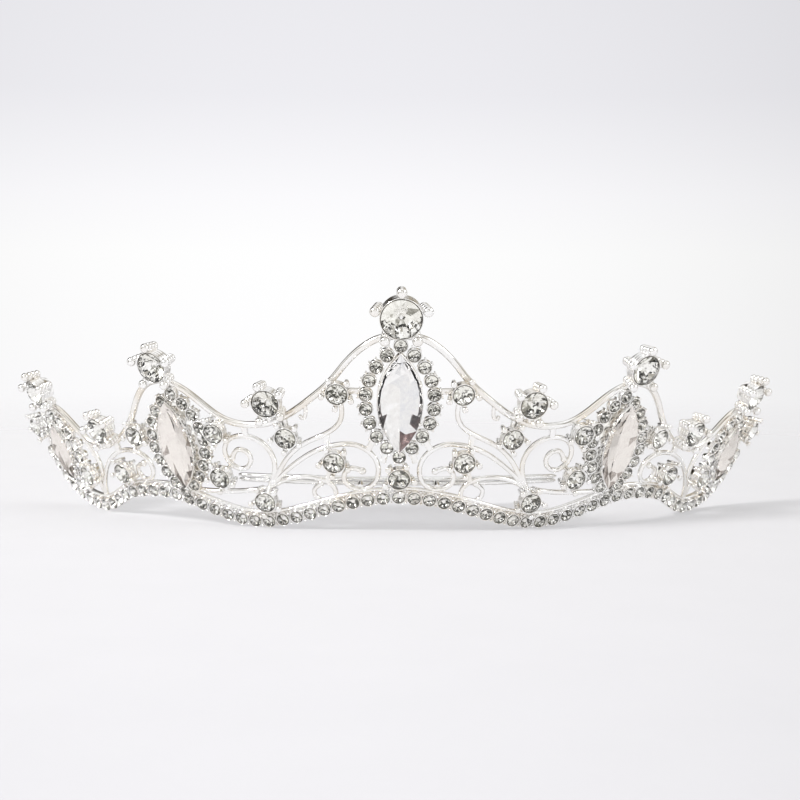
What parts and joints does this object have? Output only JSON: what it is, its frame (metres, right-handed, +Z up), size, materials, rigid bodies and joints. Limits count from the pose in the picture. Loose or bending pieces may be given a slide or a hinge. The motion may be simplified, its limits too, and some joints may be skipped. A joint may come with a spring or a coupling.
{
  "type": "bridal tiara",
  "caption": "Curved openwork bridal tiara in silver-plated wire with round and marquise crystals, a scalloped stone band and a wire hair comb behind.",
  "frame": {"origin": "under the middle of the tiara's bounding box, on the surface it stands on", "axes": "+X towards the tiara's right end as seen from the front, -Y towards the front, +Z up; the long way round lies along X"},
  "size_m": [0.1578, 0.0545, 0.0472],
  "materials": {
    "silver_plate": "bright silver plating over cast alloy",
    "comb_wire": "bright drawn wire",
    "clear_crystal": "clear cut stone with a foiled back",
    "marquise_crystal": "clear cut marquise with a foiled back",
    "champagne_crystal": "faint champagne marquise with a foiled back"
  },
  "bodies": {
    "root": {"base_band": "silver_plate", "band_rim": "silver_plate", "band_cups": "silver_plate", "centre_rail": "silver_plate", "side_rail_left": "silver_plate", "side_rail_right": "silver_plate", "end_rail_left": "silver_plate", "end_rail_right": "silver_plate", "upper_branch_left": "silver_plate", "upper_branch_right": "silver_plate", "centre_scroll_left": "silver_plate", "centre_scroll_right": "silver_plate", "lower_curl_left": "silver_plate", "lower_curl_right": "silver_plate", "inner_scroll_left": "silver_plate", "inner_scroll_right": "silver_plate", "outer_scroll_left": "silver_plate", "outer_scroll_right": "silver_plate", "base_wire_left": "silver_plate", "base_wire_right": "silver_plate", "end_wire_left": "silver_plate", "end_wire_right": "silver_plate", "tabs_left": "silver_plate", "tabs_right": "silver_plate", "rail_pegs": "silver_plate", "centre_bezel": "silver_plate", "side_bezel_left": "silver_plate", "side_bezel_right": "silver_plate", "end_bezel_left": "silver_plate", "end_bezel_right": "silver_plate", "centre_halo_cups": "silver_plate", "side_halo_cups_left": "silver_plate", "side_halo_cups_right": "silver_plate", "end_halo_cups_left": "silver_plate", "end_halo_cups_right": "silver_plate", "medium_cups_left": "silver_plate", "medium_cups_right": "silver_plate", "medium_claws_left": "silver_plate", "medium_claws_right": "silver_plate", "valley_cups": "silver_plate", "finial_cups": "silver_plate", "stone_posts": "silver_plate", "cup_feet": "silver_plate", "comb_ties": "silver_plate", "comb_spine": "comb_wire", "comb_teeth": "comb_wire", "band_stones": "clear_crystal", "centre_halo_stones": "clear_crystal", "side_halo_stones_left": "clear_crystal", "side_halo_stones_right": "clear_crystal", "end_halo_stones_left": "clear_crystal", "end_halo_stones_right": "clear_crystal", "medium_stones": "clear_crystal", "valley_stones": "clear_crystal", "finial_stones": "clear_crystal", "centre_marquise": "marquise_crystal", "side_marquise_left": "champagne_crystal", "side_marquise_right": "champagne_crystal", "end_marquise_left": "champagne_crystal", "end_marquise_right": "champagne_crystal"}
  },
  "joints": []
}
